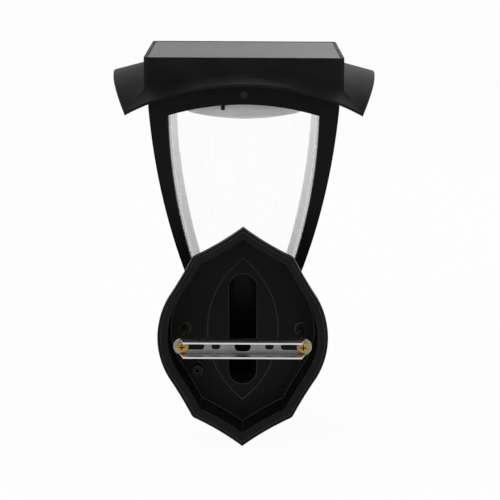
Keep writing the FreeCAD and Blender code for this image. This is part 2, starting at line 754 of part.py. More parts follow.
def build_clips():
    """A bent clip in each corner, inside the panes' upper edges."""
    top = at_drop(s.pane_top_drop)
    height = (top - s.clip_height, top)
    outer = s.window_top_half + s.pane_lap - s.pane_thick
    inner, start = outer - s.clip_thick, outer - s.clip_reach
    clips = []
    for turn in range(4):
        legs = [
            block(f"ClipLegA{turn}", (start, outer), (inner, outer), height),
            block(f"ClipLegB{turn}", (inner, outer), (start, outer), height),
        ]
        clip = fuse(f"Clip{turn}", *legs)
        clip.Placement = FreeCAD.Placement(V(), FreeCAD.Rotation(V(0, 0, 1), 90 * turn))
        clips.append(clip)
    return on_axis(group("pane_clips", clips))


# Lamp parts inside the roof

tray_floor_low = s.pane_top_drop - s.tray_lift
tray_floor_top = tray_floor_low - s.tray_wall
flange_top = tray_floor_top - s.dome_lip_thick
reflector_top = flange_top - s.reflector_thick


def build_tray():
    half = s.tray_half
    shell = square_block("TrayShell", half, (at_drop(tray_floor_low), at_drop(s.tray_top_drop)))
    inside = square_block("TrayInside", half - s.tray_wall, (at_drop(tray_floor_top), at_drop(s.tray_top_drop)))
    hole = rod("TrayHole", s.dome_rad + s.tray_hole_gap, s.tray_wall, 0, 0, at_drop(tray_floor_low))
    rail_z = at_drop(s.rail_screw_drop)
    lug = s.lug_half
    lugs, pilots = [], []
    for i, side in enumerate((-1, 1)):
        wall = (half - s.tray_wall) * side
        lug_end = wall - s.lug_depth * side
        low, high = (wall, lug_end) if side < 0 else (lug_end, wall)
        lugs.append(block(f"TrayLug{i}", (-lug, lug), (low, high), (at_drop(tray_floor_top), rail_z + lug)))
    for i, (y, rotation) in enumerate(rail_screw_places()):
        pilots.append(rod(f"TrayLugHole{i}", s.small_rad, s.rail_screw_length, 0, y, rail_z, rotation))
    pads = [
        rod(f"TrayPad{i}", s.standoff_rad, s.dome_lip_thick, x, y, at_drop(tray_floor_top))
        for i, (x, y) in enumerate(four_corners(s.reflector_screw))
    ]
    floor_holes = [
        rod(f"TrayFloorHole{i}", s.small_rad + s.small_fit, s.tray_wall, x, y, at_drop(tray_floor_low))
        for i, (x, y) in enumerate(four_corners(s.post_place))
    ]
    floor_holes += [
        rod(f"TrayPadHole{i}", s.small_rad, s.reflector_screw_length, x, y,
            at_drop(reflector_top) - s.reflector_screw_length)
        for i, (x, y) in enumerate(four_corners(s.reflector_screw))
    ]
    slot = switch_slot("TraySwitchSlot", at_drop(tray_floor_low), at_drop(tray_floor_top))
    open_tray = cut("TrayOpen", shell, inside, hole, slot)
    return on_axis(cut("lamp_tray", fuse("TrayBlank", open_tray, *lugs, *pads), *pilots, *floor_holes))


def switch_slot(name, low, top):
    """The slot that the switch's knob travels in, with its clearance."""
    half = s.knob_width / 2 + s.knob_gap
    across = s.knob_depth / 2 + s.knob_gap
    return block(name, (s.switch_x - s.switch_travel - half, s.switch_x + half),
                 (s.switch_y - across, s.switch_y + across), (low, top))


def dome_line(inward):
    """Ends of the round bottom and of the rounded edge, drawn in by the wall's thickness."""
    ball, turn = s.dome_ball - inward, s.dome_round - inward
    middle = s.dome_rad - s.dome_round
    reach = s.dome_ball - s.dome_round
    drop = root(reach * reach - middle * middle)
    centre = at_drop(s.dome_drop) + s.dome_ball
    share = ball / reach
    return [(middle * share, centre - drop * share), (s.dome_rad - inward, centre - drop)], ball, turn


def build_dome():
    body = new_body("DomeBody")
    outer, outer_ball, outer_turn = dome_line(Size("0", 0))
    inner, inner_ball, inner_turn = dome_line(s.dome_wall)
    seat, top = at_drop(tray_floor_top), at_drop(flange_top)
    profile = body_sketch(body, "DomeProfile", "XZ", [
        (0, at_drop(s.dome_drop)),
        *outer,
        (s.dome_rad, seat),
        (s.dome_rad + s.dome_lip, seat),
        (s.dome_rad + s.dome_lip, top),
        (s.dome_rad - s.dome_wall, top),
        *reversed(inner),
        (0, at_drop(s.dome_drop) + s.dome_wall),
    ], {0: (outer_ball, 1), 1: (outer_turn, 1), 7: (inner_turn, -1), 8: (inner_ball, -1)})
    revolve(body, "DomeTurn", profile, "Z")
    x, y = switch_bounds(s.switch_gap)
    notch = block("FlangeNotch", x, (-s.reflector_half, y[1]), (seat, top))
    return on_axis(cut("dome_diffuser", body, notch))


def build_reflector():
    plate = square_block("ReflectorPlate", s.reflector_half, (at_drop(flange_top), at_drop(reflector_top)))
    standoffs, holes = [], []
    for i, (x, y) in enumerate(board_screw_places()):
        standoffs.append(rod(f"Standoff{i}", s.standoff_rad, s.standoff_height, x, y, at_drop(reflector_top)))
        depth = s.board_screw_length - s.board_thick
        holes.append(rod(f"StandoffHole{i}", s.small_rad, depth, x, y,
                         at_drop(reflector_top) + s.standoff_height - depth))
    holes += [
        rod(f"ReflectorHole{i}", s.small_rad + s.small_fit, s.reflector_thick, x, y, at_drop(flange_top))
        for i, (x, y) in enumerate(four_corners(s.reflector_screw))
    ]
    corners = four_corners(s.post_place)
    room = s.post_rad + s.small_fit * 2
    notches = []
    for i, (x, y) in enumerate(corners):
        notches.append(rod(f"PostRoom{i}", room, s.reflector_thick, x, y, at_drop(flange_top)))
    x, y = switch_bounds(s.switch_gap)
    layer = (at_drop(flange_top), at_drop(reflector_top))
    notches.append(block("SwitchNotch", x, (-s.tray_half, y[1]), layer))
    lug = s.lug_half + s.switch_gap
    start = s.tray_half - s.tray_wall - s.lug_depth - s.switch_gap
    notches.append(block("LugNotchBack", (-lug, lug), (-s.tray_half, -start), layer))
    notches.append(block("LugNotchFront", (-lug, lug), (start, s.tray_half), layer))
    return on_axis(cut("reflector", fuse("ReflectorBlank", plate, *standoffs), *holes, *notches))


def board_screw_places():
    """Corners of the control board, where its screws go."""
    x = s.control_width / 2 - s.standoff_inset
    y = s.control_length / 2 - s.standoff_inset
    return [(s.control_offset + x * i, y * j) for i, j in ((1, 1), (-1, 1), (-1, -1), (1, -1))]


def build_lamps():
    low = flange_top + s.board_thick
    board = group("lamp_board", [rod("LampDisc", s.lamp_board_rad, s.board_thick, 0, 0, at_drop(low))])
    count = int(float(s.lamp_count))
    half = s.lamp_size / 2
    chips = []
    for i in range(count):
        angle = 2 * math.pi * i / count
        x, y = s.lamp_ring * round(math.cos(angle), 6), s.lamp_ring * round(math.sin(angle), 6)
        chips.append(block(f"Chip{i}", (x - half, x + half), (y - half, y + half),
                           (at_drop(low + s.lamp_height), at_drop(low))))
    return [on_axis(board), on_axis(group("lamp_chips", chips))]


def build_control():
    low = reflector_top - s.standoff_height
    top = low - s.board_thick
    x0 = s.control_offset - s.control_width / 2
    x1 = s.control_offset + s.control_width / 2
    half = s.control_length / 2
    plate = block("ControlPlate", (x0, x1), (-half, half), (at_drop(low), at_drop(top)))
    holes = [
        rod(f"ControlHole{i}", s.small_rad + s.small_fit, s.board_thick, x, y, at_drop(low))
        for i, (x, y) in enumerate(board_screw_places())
    ]
    board = cut("control_board", plate, *holes)
    face = at_drop(top)
    middle = s.control_offset
    parts = [
        rod("Coil", 4.5, 5, middle - 8, 12, face),
        rod("Capacitor", 3.2, 9, middle + 8, 14, face),
        block("Chip", (middle - 4, middle + 4), (-4, 2), (face, face + 1.6)),
        block("PanelPlug", (middle - 13, middle - 5), (-24, -18), (face, face + 6)),
        block("BatteryPlug", (middle + 4, middle + 12), (-24, -18), (face, face + 6)),
    ]
    return [on_axis(board), on_axis(group("board_parts", parts))]


def build_battery():
    floor_low = at_drop(reflector_top)
    cell_z = floor_low + s.holder_wall + s.holder_gap + s.cell_rad
    x = s.battery_offset
    inner = s.cell_length / 2 + s.contact_room
    side = s.cell_rad + s.holder_gap
    outer = block("HolderOuter", (x - side - s.holder_wall, x + side + s.holder_wall),
                  (-inner - s.holder_wall, inner + s.holder_wall), (floor_low, cell_z + s.cell_rad / 2))
    room = block("HolderRoom", (x - side, x + side), (-inner, inner),
                 (floor_low + s.holder_wall, cell_z + s.cell_rad / 2))
    holder = cut("battery_holder", outer, room)
    cell_rod = rod("CellCan", s.cell_rad, s.cell_length, x, -s.cell_length / 2, cell_z, ALONG_Y)
    cell = group("battery_cell", [cell_rod])
    contacts = []
    for i, direction in ((-1, AGAINST_Y), (1, ALONG_Y)):
        plate_low = (inner - s.contact_thick) * i
        low, high = (-inner, plate_low) if i < 0 else (plate_low, inner)
        half = s.contact_rad + 2
        plate = block(f"ContactPlate{i + 1}", (x - half, x + half), (low, high), (cell_z - half, cell_z + half))
        button = rod(f"ContactButton{i + 1}", s.contact_rad, s.contact_room - s.contact_thick / 2,
                     x, s.cell_length / 2 * i, cell_z, direction)
        contacts.append(fuse(f"Contact{i + 1}", plate, button))
    return [on_axis(holder), on_axis(cell), on_axis(group("battery_contacts", contacts))]


def switch_bounds(extra):
    """Bounds of the switch case across and along, with a clearance round it."""
    reach = s.knob_head / 2 + s.knob_gap + s.switch_wall + extra
    half = s.switch_depth / 2 + extra
    return (s.switch_x - s.switch_travel - reach, s.switch_x + reach), (s.switch_y - half, s.switch_y + half)


def build_switch():
    gap, wall = s.knob_gap, s.switch_wall
    foot = at_drop(tray_floor_top)
    x, y = switch_bounds(0)
    across = s.knob_depth / 2
    neck = foot + wall + gap
    case = block("SwitchCase", x, y, (foot, foot + s.switch_height))
    room = block("SwitchRoom", (x[0] + wall, x[1] - wall), (s.switch_y - across - gap, s.switch_y + across + gap),
                 (neck - gap, neck + s.knob_head_height + gap))
    body = cut("switch_case", case, room, switch_slot("SwitchSlot", foot, neck))
    half, head = s.knob_width / 2, s.knob_head / 2
    along = (s.switch_y - across, s.switch_y + across)
    top = neck + s.knob_head_height
    stem = block("KnobStem", (s.switch_x - half, s.switch_x + half), along,
                 (at_drop(tray_floor_low) - s.knob_reach, top))
    bar = block("KnobHead", (s.switch_x - head, s.switch_x + head), along, (neck, top))
    return [on_axis(body), on_axis(fuse("switch_knob", stem, bar))]


def screw_group(name, places, drop, length, rotation):
    """Small screws whose heads seat at one height."""
    screws = [
        pan_screw(f"{name}_{i}", s.small_rad, length, s.small_head, s.small_head_height, x, y, at_drop(drop), rotation)
        for i, (x, y) in enumerate(places)
    ]
    return on_axis(group(name, screws))


def build_small_screws():
    board_top = reflector_top - s.standoff_height - s.board_thick
    base_seat = s.frame_foot_drop + s.base_slab - s.small_head_height
    rail = [
        pan_screw(f"RailScrew{i}", s.small_rad, s.rail_screw_length, s.small_head, s.rail_sink,
                  0, y, at_drop(s.rail_screw_drop), rotation)
        for i, (y, rotation) in enumerate(rail_screw_places())
    ]
    return [
        screw_group("tray_screws", four_corners(s.post_place), tray_floor_low, s.tray_screw_length, UP),
        screw_group("reflector_screws", four_corners(s.reflector_screw), reflector_top,
                    s.reflector_screw_length, DOWN),
        screw_group("board_screws", board_screw_places(), board_top, s.board_screw_length, DOWN),
        screw_group("base_screws", four_corners(s.base_screw), base_seat, s.base_screw_length, UP),
        on_axis(group("rail_screws", rail)),
    ]


# Lantern base and arm


def arm_screw_places():
    return [(0, s.arm_screw_place * i) for i in (-1, 1)]


def build_base():
    slab_low = s.frame_foot_drop + s.base_slab
    slab = square_block("BaseSlab", s.base_half, (at_drop(slab_low), at_drop(s.frame_foot_drop)))
    plug = square_block("BasePlug", s.well_half - s.base_fit,
                        (at_drop(s.frame_foot_drop), at_drop(s.pane_foot_drop + s.base_fit)))
    foot = frustum("BaseFoot", s.base_foot_half, s.base_step_half, at_drop(s.base_foot_drop), at_drop(slab_low))
    sinks = []
    for i, (x, y) in enumerate(four_corners(s.base_screw)):
        low = at_drop(slab_low)
        sinks.append(rod(f"BaseHole{i}", s.small_rad + s.small_fit, s.base_slab, x, y, low))
        sinks.append(rod(f"BaseSink{i}", s.small_head + s.small_fit, s.small_head_height, x, y, low))
    height = s.base_foot_drop - s.pane_foot_drop - s.base_fit
    for i, (x, y) in enumerate(arm_screw_places()):
        sinks.append(rod(f"BaseArmHole{i}", s.arm_screw_rad + s.small_fit, height, x, y, at_drop(s.base_foot_drop)))
    return on_axis(cut("lantern_base", fuse("BaseBlank", slab, plug, foot), *sinks))


def arm_stations():
    """Middle, upward direction, half width and half height of the arm's sections, from the plate outwards."""
    root, reach, foot = float(arm_root), float(s.axis_reach), float(at_drop(s.base_foot_drop))
    tilt = math.radians(float(s.arm_bend_tilt))
    end = float(s.arm_end_rad)
    elbow = float(s.arm_elbow_rad)
    return [
        (V(0, root, 0), V(0, 0, 1), float(s.arm_root_half), float(s.arm_root_tall)),
        (V(0, root + float(s.arm_neck_out), -float(s.arm_neck_drop)), V(0, 0, 1),
         float(s.arm_neck_half), float(s.arm_neck_tall)),
        (V(0, reach - float(s.arm_bend_in), foot - float(s.arm_bend_drop)),
         V(0, -math.sin(tilt), math.cos(tilt)), float(s.arm_bend_half), float(s.arm_bend_tall)),
        (V(0, reach - float(s.arm_elbow_in), foot - float(s.arm_elbow_drop)), V(0, -1, 1).normalize(),
         elbow, elbow),
        (V(0, reach, foot), V(0, -1, 0), end, end),
    ]


def pointed_oval(middle, up, half, tall):
    """Two arcs that meet in a point above and below."""
    side = V(half, 0, 0)
    top, low = middle + up * tall, middle - up * tall
    return Part.Wire([
        Part.Arc(top, middle + side, low).toShape(),
        Part.Arc(low, middle - side, top).toShape(),
    ])


def round_slot(middle, up, half, tall):
    """Two straight sides joined by half circles."""
    run = up * (tall - half)
    side = V(half, 0, 0)
    corners = [middle + run + side, middle - run + side, middle - run - side, middle + run - side]
    return Part.Wire([
        Part.makeLine(corners[0], corners[1]),
        Part.Arc(corners[1], middle - up * tall, corners[2]).toShape(),
        Part.makeLine(corners[2], corners[3]),
        Part.Arc(corners[3], middle + up * tall, corners[0]).toShape(),
    ])


arm_root = s.plate_depth + s.boss_rise


def build_arm():
    """The arm from its flange in the plate to its round end under the lantern."""
    stations = arm_stations()
    shell = shape_feature("ArmShell", Part.makeLoft([pointed_oval(*station) for station in stations], True, False))
    floor = s.plate_depth - s.plate_floor
    neck_line = oval_line("ArmNeckLine", s.arm_root_half, s.arm_root_tall, floor)
    neck = extrude("ArmNeck", neck_line, V(0, 1, 0), arm_root - floor)
    flange_line = oval_line("ArmFlangeLine", s.flange_half, s.flange_tall, floor)
    flange = extrude("ArmFlange", flange_line, V(0, 1, 0), s.flange_thick)
    middle, up, half, tall = stations[0]
    hollow = [round_slot(middle, up, float(s.bore_half), float(s.bore_tall))]
    for middle, up, half, tall in stations[1:3]:
        reach = tall - float(s.bore_wall)
        room = min(half - float(s.bore_side), float(s.bore_half), reach * 0.8)
        hollow.append(round_slot(middle, up, room, reach))
    bore = shape_feature("ArmBore", Part.makeLoft(hollow, True, False))
    mouth = slot_upright("ArmMouth", s.bore_half, s.bore_tall, floor, arm_root - floor)
    holes = [
        rod(f"ArmScrewHole{i}", s.arm_screw_rad, s.arm_screw_bite, x, s.axis_reach + y,
            at_drop(s.base_foot_drop) - s.arm_screw_bite)
        for i, (x, y) in enumerate(arm_screw_places())
    ]
    return cut("wall_arm", fuse("ArmBlank", shell, neck, flange), bore, mouth, *holes)


def oval_line(name, half, tall, y):
    """A pointed oval that stands across the Y axis."""
    radius = (half * half + tall * tall) / (half * 2)
    return outline(name, "XZ", [(0, tall), (0, -tall)], {0: (radius, 1), 1: (radius, 1)}, offset=y)


def slot_upright(name, half, tall, y, depth):
    """An upright round-ended slot, along Y."""
    run = tall - half
    middle = block(name + "Run", (-half, half), (y, y + depth), (-run, run))
    ends = [rod(f"{name}End{i}", half, depth, 0, y, run * i, ALONG_Y) for i in (-1, 1)]
    return fuse(name, middle, *ends)


def build_arm_screws():
    seat = s.pane_foot_drop + s.base_fit
    length = s.base_foot_drop + s.arm_screw_bite - seat
    screws = [
        pan_screw(f"ArmScrew{i}", s.arm_screw_rad, length, s.arm_head_rad, s.arm_head_height,
                  x, y, at_drop(seat), DOWN)
        for i, (x, y) in enumerate(arm_screw_places())
    ]
    return on_axis(group("arm_screws", screws))


# Wall plate


def shield_line(name, y):
    """The plate's outline: round sides, small shoulders and hollow lines up to the tips."""
    quarter = [
        (s.plate_side_x, s.plate_side_z),
        (s.shoulder_low_x, s.shoulder_low_z),
        (s.shoulder_top_x, s.shoulder_top_z),
    ]
    corners = quarter + [(0, s.plate_tall)]
    corners += [(-x, z) for x, z in reversed(quarter)]
    corners += [(-x, -z) for x, z in quarter]
    corners += [(0, -s.plate_tall)]
    corners += [(x, -z) for x, z in reversed(quarter)]
    flank, shoulder, tip = (s.plate_flank_rad, -1), (s.shoulder_rad, 1), (s.plate_tip_rad, -1)
    side = (s.plate_side_rad, 1)
    rising = [flank, shoulder, tip]
    falling = [tip, shoulder, flank]
    edges = rising + falling + [side] + rising + falling + [side]
    return outline(name, "XZ", corners, dict(enumerate(edges)), offset=y)


def build_plate():
    line = shield_line("ShieldLine", 0)
    step_line = shield_line("ShieldStepLine", s.skirt_depth)
    forward = V(0, 1, 0)
    draft = -s.plate_draft
    skirt = extrude("PlateSkirt", line, forward, s.skirt_depth)
    raised = extrude("PlateRaised", inset("PlateStep", step_line, s.skirt_step), forward,
                     s.plate_depth - s.skirt_depth, taper=draft)
    floor = s.plate_depth - s.plate_floor
    hollow = extrude("PlateHollow", inset("PlateRim", line, s.rim_width), forward, floor, taper=draft)
    groove = cut(
        "GasketGroove",
        extrude("GrooveOuter", inset("GrooveOuterLine", line, s.gasket_edge), forward, s.gasket_depth),
        extrude("GrooveInner", inset("GrooveInnerLine", line, s.rim_width * 2), forward, s.gasket_depth),
    )
    field = extrude("PlateField", oval_line("FieldLine", s.boss_half, s.boss_tall, floor), forward,
                    s.plate_floor + s.boss_rise)
    screw_ring = s.screw_rad + s.screw_fit
    rings, holes = [], []
    for i in (-1, 1):
        x = s.screw_place * i
        rings.append(rod(f"ScrewRing{i + 1}", screw_ring * 2, s.plate_floor * 2, x, floor - s.plate_floor, s.bar_z,
                         ALONG_Y))
        holes.append(rod(f"ScrewHole{i + 1}", screw_ring, s.plate_floor * 4, x, floor - s.plate_floor * 2, s.bar_z,
                         ALONG_Y))
    boss_start = floor - s.spare_boss_length
    boss = rod("SpareBoss", s.spare_boss_rad, s.spare_boss_length + s.plate_floor / 2, s.spare_boss_x, boss_start,
               s.spare_boss_z, ALONG_Y)
    boss_hole = rod("SpareBossHole", s.spare_boss_bore, s.spare_boss_length, s.spare_boss_x, boss_start,
                    s.spare_boss_z, ALONG_Y)
    fit = s.flange_fit
    flange_seat = extrude("FlangeSeat", oval_line("FlangeSeatLine", s.flange_half + fit, s.flange_tall + fit, floor),
                          forward, s.flange_thick)
    neck_room = extrude("NeckRoom", oval_line("NeckRoomLine", s.arm_root_half + fit, s.arm_root_tall + fit, floor),
                        forward, s.plate_floor + s.boss_rise)
    tray = cut("PlateTray", fuse("PlateOuter", skirt, raised), hollow, groove)
    blank = fuse("PlateBlank", tray, field, boss, *rings)
    return cut("back_plate", blank, flange_seat, neck_room, boss_hole, *holes)


def build_gasket():
    line = shield_line("GasketShield", 0)
    forward = V(0, 1, 0)
    outer = inset("GasketOuterLine", line, s.gasket_edge + s.gasket_fit)
    inner = inset("GasketInnerLine", line, s.rim_width)
    return cut("wall_gasket", extrude("GasketOuter", outer, forward, s.gasket_depth),
               extrude("GasketInner", inner, forward, s.gasket_depth))


# Mounting bar and long screws


def build_bar():
    web_front = -s.bar_stand
    web_back = web_front - s.bar_metal
    half_height = s.bar_height / 2
    z0, z1 = s.bar_z - half_height, s.bar_z + half_height
    half = s.bar_length / 2 - half_height
    web = fuse(
        "BarWeb",
        block("BarWebRun", (-half, half), (web_back, web_front), (z0, z1)),
        *[rod(f"BarWebEnd{i + 1}", half_height, s.bar_metal, half * i, web_back, s.bar_z, ALONG_Y) for i in (-1, 1)],
    )
    long_half = s.bar_flange_length / 2
    short_half = long_half - s.bar_flange_slant
    flange_end = web_front - s.bar_flange
    flanges = []
    for name, low in (("Low", z0), ("Top", z1 - s.bar_metal)):
        line = outline(f"BarFlangeLine{name}", "XY", [
            (-long_half, web_front),
            (-short_half, flange_end),
            (short_half, flange_end),
            (long_half, web_front),
        ], offset=low)
        flanges.append(extrude(f"BarFlange{name}", line, V(0, 0, 1), s.bar_metal))
    depth = s.bar_metal
    end_length = s.end_slot_end - s.end_slot_start
    end_middle = (s.end_slot_start + s.end_slot_end) / 2
    slots = [slot_tool("MiddleSlot", Size("0", 0), s.middle_slot_length, s.middle_slot_rad, web_back, depth, s.bar_z)]
    for i in (-1, 1):
        slots.append(slot_tool(f"WallSlot{i + 1}", s.wall_slot_place * i, s.wall_slot_length, s.wall_slot_rad,
                               web_back, depth, s.bar_z))
        slots.append(slot_tool(f"EndSlot{i + 1}", end_middle * i, end_length, s.end_slot_rad, web_back, depth,
                               s.bar_z))
    return cut("mounting_bar", fuse("BarBlank", web, *flanges), *slots)


def ring(name, outer, bore, thick, x, y, z):
    """A flat washer that faces Y."""
    return cut(name, rod(name + "Disc", outer, thick, x, y, z, ALONG_Y),
               rod(name + "Hole", bore, thick, x, y, z, ALONG_Y))


def build_long_screws():
    head_seat = -s.bar_stand - s.bar_metal - s.washer_thick
    tip = s.plate_depth + s.cap_washer_thick + s.cap_height
    screws, washers, nuts, caps, seals = [], [], [], [], []
    tight, easy = s.screw_rad + s.thread_fit, s.screw_rad + s.screw_fit
    for i in (-1, 1):
        x = s.screw_place * i
        tag = i + 1
        screws.append(pan_screw(f"LongScrew{tag}", s.screw_rad, tip - head_seat, s.screw_head_rad,
                                s.screw_head_height, x, head_seat, s.bar_z, ALONG_Y))
        washers.append(ring(f"BarWasher{tag}", s.washer_rad, easy, s.washer_thick, x, head_seat, s.bar_z))
        nut = hexagon(f"NutBlank{tag}", s.nut_flats, s.nut_height, x, -s.bar_stand, s.bar_z, ALONG_Y)
        nuts.append(cut(f"Nut{tag}", nut, rod(f"NutHole{tag}", tight, s.nut_height, x, -s.bar_stand, s.bar_z,
                                              ALONG_Y)))
        seals.append(ring(f"Seal{tag}", s.cap_washer_rad, tight, s.cap_washer_thick, x, s.plate_depth, s.bar_z))
        cap_seat = s.plate_depth + s.cap_washer_thick
        hex_part = hexagon(f"CapHex{tag}", s.cap_flats, s.cap_height, x, cap_seat, s.bar_z, ALONG_Y)
        dome = ball(f"CapDome{tag}", s.cap_dome, x, cap_seat + s.cap_height, s.bar_z)
        bore = rod(f"CapBore{tag}", tight, s.cap_height + s.cap_washer_thick, x, cap_seat, s.bar_z, ALONG_Y)
        caps.append(cut(f"Cap{tag}", fuse(f"CapBlank{tag}", hex_part, dome), bore))
    return [
        group("long_screws", screws),
        group("bar_washers", washers),
        group("bar_nuts", nuts),
        group("cap_nuts", caps),
        group("cap_seals", seals),
    ]


pieces = [
    build_roof(),
    *build_panel(),
    build_frame(),
    *build_panes(),
    build_clips(),
    build_tray(),
    build_dome(),
    build_reflector(),
    *build_lamps(),
    *build_control(),
    *build_battery(),
    *build_switch(),
    *build_small_screws(),
    build_base(),
    build_arm(),
    build_arm_screws(),
    build_plate(),
    build_gasket(),
    build_bar(),
    *build_long_screws(),
]
doc.recompute()

for thing in doc.Objects:
    if "Invalid" in thing.State or "Error" in thing.State:
        raise RuntimeError(f"{thing.Name} failed: {thing.State}")
for piece in pieces:
    if piece.Shape.isNull() or not piece.Shape.isValid() or not piece.Shape.Solids:
        raise RuntimeError(f"{piece.Label} has no sound shape")

os.makedirs("parts", exist_ok=True)
for piece in pieces:
    piece.Shape.exportStep(f"parts/{piece.Label}.step")
    print(f"{piece.Label}: {len(piece.Shape.Solids)} solids, {piece.Shape.Volume / 1000:.2f} cm3")
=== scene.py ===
import math

import bmesh
import bpy
from mathutils import Euler, Matrix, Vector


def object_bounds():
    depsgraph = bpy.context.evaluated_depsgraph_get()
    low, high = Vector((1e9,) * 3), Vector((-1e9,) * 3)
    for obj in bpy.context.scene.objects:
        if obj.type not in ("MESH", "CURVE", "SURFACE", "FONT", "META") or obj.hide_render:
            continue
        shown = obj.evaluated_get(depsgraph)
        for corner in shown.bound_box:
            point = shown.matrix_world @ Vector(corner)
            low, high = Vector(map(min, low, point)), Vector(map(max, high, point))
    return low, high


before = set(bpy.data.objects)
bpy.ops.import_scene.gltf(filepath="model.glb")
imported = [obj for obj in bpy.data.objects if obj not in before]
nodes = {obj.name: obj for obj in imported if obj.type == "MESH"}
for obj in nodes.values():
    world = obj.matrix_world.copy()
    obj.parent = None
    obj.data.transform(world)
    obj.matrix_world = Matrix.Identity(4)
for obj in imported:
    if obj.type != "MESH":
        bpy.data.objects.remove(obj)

cad_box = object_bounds()
scene = bpy.context.scene

# Node and socket kinds
COORDS = "ShaderNodeTexCoord"
NOISE = "ShaderNodeTexNoise"
VORONOI = "ShaderNodeTexVoronoi"
WAVE = "ShaderNodeTexWave"
MIX = "ShaderNodeMix"
MATH = "ShaderNodeMath"
RANGE = "ShaderNodeMapRange"
FLOAT = "NodeSocketFloat"
VECTOR = "NodeSocketVector"

# Where some features of the parts are, in metres
SCREW_SIDE = 0.04445      # from the middle to each long screw's axis
SCREW_LEVEL = 0.0008      # height of those axes
RECESS_TOP = -0.03315     # depth just under the outer face of the long screws' heads
THREAD_START = -0.0304    # depth just past the seat of those heads
THREAD_PITCH = 0.0007
FOLD_SHADE_LINE = -0.0318       # depth of the painted shade line along the mounting bar's flanges
BATTERY_MIDDLE = 0.1085   # depth of the middle of the battery
PARTS_DIVIDE = -0.03      # between the grey and the bluish parts of the control board

# Smooth shading
WELD_REACH = 0.000005
HARD_EDGE = math.radians(32)

# Studio
FLOOR_GAP = 0.001
FLOOR_HALF = 20
FLOOR_WHITE = 0.95
SOFT_SKY = 0.55
LIT_POINT = (0.0, 0.07, 0.07)
LAMPS = (
    # name, place, width, watts
    ("key_light", (-1.1, -1.0, 1.3), 0.9, 9.0),
    ("fill_light", (1.3, -0.9, 0.5), 0.9, 3.5),
    ("back_light", (0.4, 1.5, 1.1), 0.8, 3.0),
)
WHITE = (1, 1, 1, 1)

# Camera: lens and sensor in millimetres, angles in degrees
LENS = 136.44
SENSOR = 36.0
CAMERA_PLACE = (0.002, -1.381, 0.3358)
CAMERA_TILT = 79.0
CAMERA_TURN = -0.13
CAMERA_ROLL = 0.3
CLIP_NEAR, CLIP_FAR = 0.05, 100.0


# Node trees

class Tree:
    """A node tree, with short calls for its nodes and links."""

    def __init__(self, tree):
        self.tree = tree

    def give(self, socket, value):
        """Links an output to a socket, or sets the socket's own value."""
        if isinstance(value, bpy.types.NodeSocket):
            self.tree.links.new(value, socket)
        else:
            socket.default_value = value

    def add(self, kind, values=None, **settings):
        node = self.tree.nodes.new(kind)
        for key, value in settings.items():
            setattr(node, key, value)
        for socket, value in (values or {}).items():
            self.give(node.inputs[socket], value)
        return node

    def math(self, operation, a, b=0.0):
        return self.add(MATH, {0: a, 1: b}, operation=operation).outputs[0]

    def plus(self, a, b):
        return self.math("ADD", a, b)

    def minus(self, a, b):
        return self.math("SUBTRACT", a, b)

    def times(self, a, b):
        return self.math("MULTIPLY", a, b)

    def larger(self, a, b):
        return self.math("MAXIMUM", a, b)

    def mix(self, factor, a, b):
        """Mixes two colours."""
        return self.add(MIX, {"Factor": factor, 6: a, 7: b}, data_type="RGBA").outputs[2]

    def tint(self, base, colour, mask, share):
        """Lays a colour over the base, by a share of the mask."""
        return self.mix(self.times(mask, share), base, colour)

    def remap(self, value, low, high, to_low=0.0, to_high=1.0):
        values = {"Value": value, "From Min": low, "From Max": high,
                  "To Min": to_low, "To Max": to_high}
        return self.add(RANGE, values).outputs["Result"]

    def between(self, value, low, high):
        """Spreads a value of 0 to 1 from low to high."""
        return self.remap(value, 0.0, 1.0, low, high)

    def place(self, scale=(1, 1, 1)):
        """Object coordinates in metres, stretched by a scale."""
        coords = self.add(COORDS).outputs["Object"]
        return self.add("ShaderNodeMapping", {"Vector": coords, "Scale": scale}).outputs["Vector"]

    def along(self, axis):
        """How far along an axis of the object a point is, in metres."""
        return self.add("ShaderNodeSeparateXYZ", {"Vector": self.place()}).outputs[axis]

    def noise(self, vector, scale, detail=2.0, roughness=0.5):
        values = {"Vector": vector, "Scale": scale, "Detail": detail, "Roughness": roughness}
        return self.add(NOISE, values).outputs[0]

    def cells(self, vector, scale, randomness=1.0, distance="EUCLIDEAN"):
        values = {"Vector": vector, "Scale": scale, "Randomness": randomness}
        return self.add(VORONOI, values, distance=distance).outputs

    def bands(self, scale, axis):
        """Even bands across an axis, a tenth of pi over the scale apart."""
        values = {"Vector": self.place(), "Scale": scale}
        return self.add(WAVE, values, wave_type="BANDS", bands_direction=axis).outputs["Fac"]

    def shown(self):
        """1 where a ray shows a surface: straight, in a reflection or through a pane."""
        path = self.add("ShaderNodeLightPath").outputs
        seen = self.larger(path["Is Camera Ray"], path["Is Glossy Ray"])
        return self.larger(seen, path["Is Transmission Ray"])


def new_group(name, inputs, outputs):
    """A node group's data, its tree, its given values and its output node."""
    group = bpy.data.node_groups.new(name, "ShaderNodeTree")
    for socket, kind, value in inputs:
        made = group.interface.new_socket(socket, in_out="INPUT", socket_type=kind)
        if value is not None:
            made.default_value = value
    for socket, kind in outputs:
        group.interface.new_socket(socket, in_out="OUTPUT", socket_type=kind)
    tree = Tree(group)
    return group, tree, tree.add("NodeGroupInput").outputs, tree.add("NodeGroupOutput")


